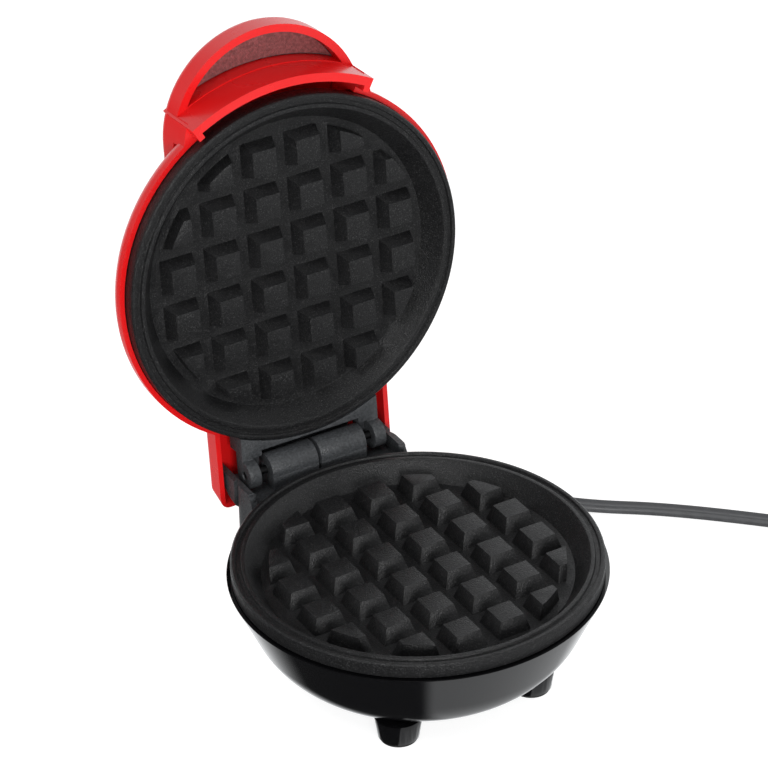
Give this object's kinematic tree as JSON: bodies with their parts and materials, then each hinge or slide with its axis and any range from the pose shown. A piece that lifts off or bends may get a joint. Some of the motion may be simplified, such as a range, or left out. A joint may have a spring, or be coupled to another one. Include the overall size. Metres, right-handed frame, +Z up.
{
  "type": "waffle maker",
  "caption": "Mini round waffle maker, lid open: hinged domed lid with arched handle, studded non-stick plates, bowl-shaped base on short feet, flat power cord with plug.",
  "frame": {"origin": "on the table, under the middle of the outline with the lid open, cord left out; the centre of the round base is 21.87 mm in front of it (towards -Y)", "axes": "+Z up, front with the handle towards -Y, hinge at +Y with its axis along X; rest pose is lid open at its stop"},
  "size_m": [0.3123, 0.1726, 0.2017],
  "materials": {
    "gloss_black": "high-gloss black moulded plastic",
    "gloss_red": "high-gloss red moulded plastic",
    "textured_black": "fine spark-textured black heat-resistant plastic",
    "nonstick": "cast aluminium under a speckled black non-stick coating",
    "heater_steel": "oxidised heater sheath",
    "shield_steel": "bright galvanised sheet",
    "screw_steel": "zinc-plated screw steel",
    "pin_steel": "ground steel pin",
    "pad_rubber": "soft black rubber",
    "cord_pvc": "matte dark PVC cord sheath",
    "wire_silicone": "heat-resistant braided sleeve",
    "ceramic": "ceramic and phenolic electrical parts",
    "blade_brass": "nickel-plated brass blades",
    "lens": "tinted translucent lens"
  },
  "bodies": {
    "base": {"base_housing": "gloss_black", "hinge_housing": "textured_black", "foot_posts": "gloss_black", "rubber_pads": "pad_rubber", "housing_screws": "screw_steel", "base_frame": "textured_black", "lower_cooking_plate": "nonstick", "lower_heating_element": "heater_steel", "lower_heat_reflector": "shield_steel", "lower_plate_screws": "screw_steel", "thermostat": "ceramic", "thermal_fuse": "shield_steel", "terminal_block": "ceramic", "cord_clamp": "textured_black", "base_wiring": "wire_silicone", "cord_strain_relief": "cord_pvc", "power_cord": "cord_pvc", "cord_coil": "cord_pvc", "power_plug": "cord_pvc", "plug_blades": "blade_brass", "hinge_pin": "pin_steel"},
    "lid": {"lid_shell": "gloss_red", "handle_insert": "textured_black", "lid_frame": "textured_black", "upper_cooking_plate": "nonstick", "upper_heating_element": "heater_steel", "upper_heat_reflector": "shield_steel", "upper_plate_screws": "screw_steel", "lid_screws": "screw_steel", "lamp_lens": "lens", "pilot_lamp": "ceramic"}
  },
  "joints": [
    {"name": "lid_hinge", "type": "hinge", "parent": "base", "child": "lid", "pos_m": [0, 0.04953, 0.047], "axis": [1, 0, 0], "range_deg": [0, 95]}
  ]
}
